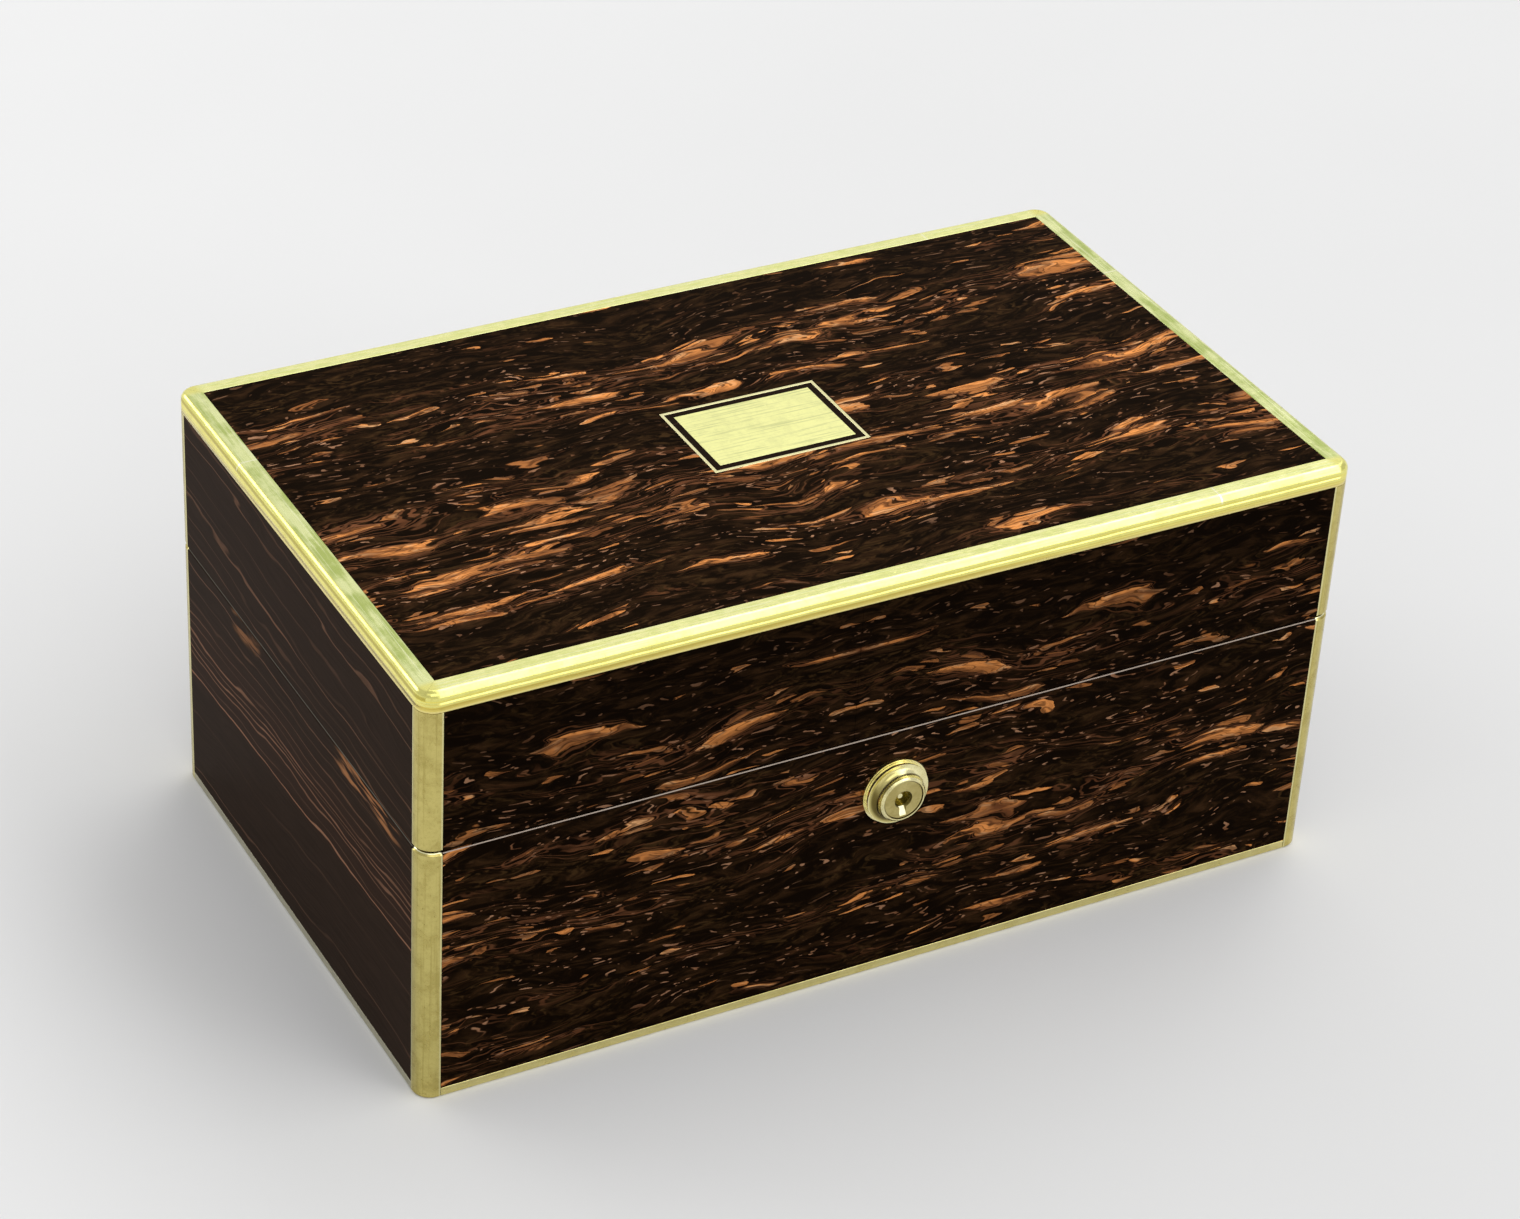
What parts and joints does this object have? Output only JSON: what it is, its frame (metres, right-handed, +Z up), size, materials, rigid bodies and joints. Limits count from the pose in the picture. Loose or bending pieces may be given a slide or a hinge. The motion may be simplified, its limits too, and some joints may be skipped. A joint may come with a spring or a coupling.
{
  "type": "travelling jewelry box",
  "caption": "Travelling jewelry box: a veneered case edged in brass, with a hinged lid, barrel lock, blank name plate, lift-out tray and padded lining.",
  "frame": {"origin": "middle of the case's underside, on the face that the box stands on", "axes": "+X along the box's length to the right, -Y towards the front with the lock, +Z up"},
  "size_m": [0.305, 0.1894, 0.1406],
  "materials": {
    "veneer": "dark striped exotic veneer, polished",
    "brass_edging": "aged brass, polished and mottled",
    "brass_lock": "turned brass, worn",
    "brass_hinge": "drawn brass",
    "name_plate": "pale brushed brass, blank",
    "ebony": "black, polished",
    "carcass": "plain reddish wood, oiled",
    "inner_wood": "reddish brown wood, waxed",
    "steel": "plain",
    "velvet": "wine velvet",
    "cloth": "dark green baize",
    "ribbon": "woven ribbon"
  },
  "bodies": {
    "box": {"base_back_board": "carcass", "base_back_veneer": "veneer", "base_bottom_board": "carcass", "base_cloth": "cloth", "base_corner_strip_back_left": "brass_edging", "base_corner_strip_back_right": "brass_edging", "base_corner_strip_front_left": "brass_edging", "base_corner_strip_front_right": "brass_edging", "base_foot_strip_back": "brass_edging", "base_foot_strip_front": "brass_edging", "base_foot_strip_left": "brass_edging", "base_foot_strip_right": "brass_edging", "base_front_board": "carcass", "base_front_veneer": "veneer", "base_left_board": "carcass", "base_left_veneer": "veneer", "base_liner": "inner_wood", "base_right_board": "carcass", "base_right_veneer": "veneer", "floor_pad": "velvet", "hinge_base_leaf": "brass_hinge", "hinge_pin": "steel", "lock_cap": "brass_lock", "lock_case": "brass_lock", "lock_nozzle": "brass_lock", "tray_rest_left": "inner_wood", "tray_rest_right": "inner_wood"},
    "lid": {"hinge_lid_leaf": "brass_hinge", "lid_back_board": "carcass", "lid_back_veneer": "veneer", "lid_corner_strip_back_left": "brass_edging", "lid_corner_strip_back_right": "brass_edging", "lid_corner_strip_front_left": "brass_edging", "lid_corner_strip_front_right": "brass_edging", "lid_edge_strip_back": "brass_edging", "lid_edge_strip_front": "brass_edging", "lid_edge_strip_left": "brass_edging", "lid_edge_strip_right": "brass_edging", "lid_front_board": "carcass", "lid_front_left_veneer": "veneer", "lid_front_right_veneer": "veneer", "lid_hook_plate": "brass_lock", "lid_left_board": "carcass", "lid_left_veneer": "veneer", "lid_pad": "velvet", "lid_right_board": "carcass", "lid_right_veneer": "veneer", "lid_top_board": "carcass", "lid_top_veneer": "veneer", "name_plate": "name_plate", "plate_band": "ebony", "plate_stringing": "brass_edging"},
    "tray": {"ring_pad": "velvet", "tray_dividers": "inner_wood", "tray_floor": "inner_wood", "tray_frame": "inner_wood", "tray_ribbon_left": "ribbon", "tray_ribbon_right": "ribbon"},
    "barrel": {"lock_barrel": "brass_lock"},
    "bolt": {"lock_bolt": "steel"}
  },
  "joints": [
    {"name": "lid_hinge", "type": "hinge", "parent": "box", "child": "lid", "pos_m": [0, 0.09035, 0.0872], "axis": [-1, 0, 0], "range_deg": [0, 97]},
    {"name": "tray_lift", "type": "slide", "parent": "box", "child": "tray", "axis": [0, 0, 1], "range_m": [0, 0.035]},
    {"name": "barrel_turn", "type": "hinge", "parent": "box", "child": "barrel", "pos_m": [-0.00125, -0.09035, 0.0665], "axis": [0, 1, 0], "range_deg": [0, 90]},
    {"name": "bolt_slide", "type": "slide", "parent": "box", "child": "bolt", "axis": [1, 0, 0], "range_m": [0, 0.0035]}
  ],
  "couplings": [
    {"joint": "bolt_slide", "follows": "barrel_turn", "m_per_rad": 0.0022282}
  ]
}
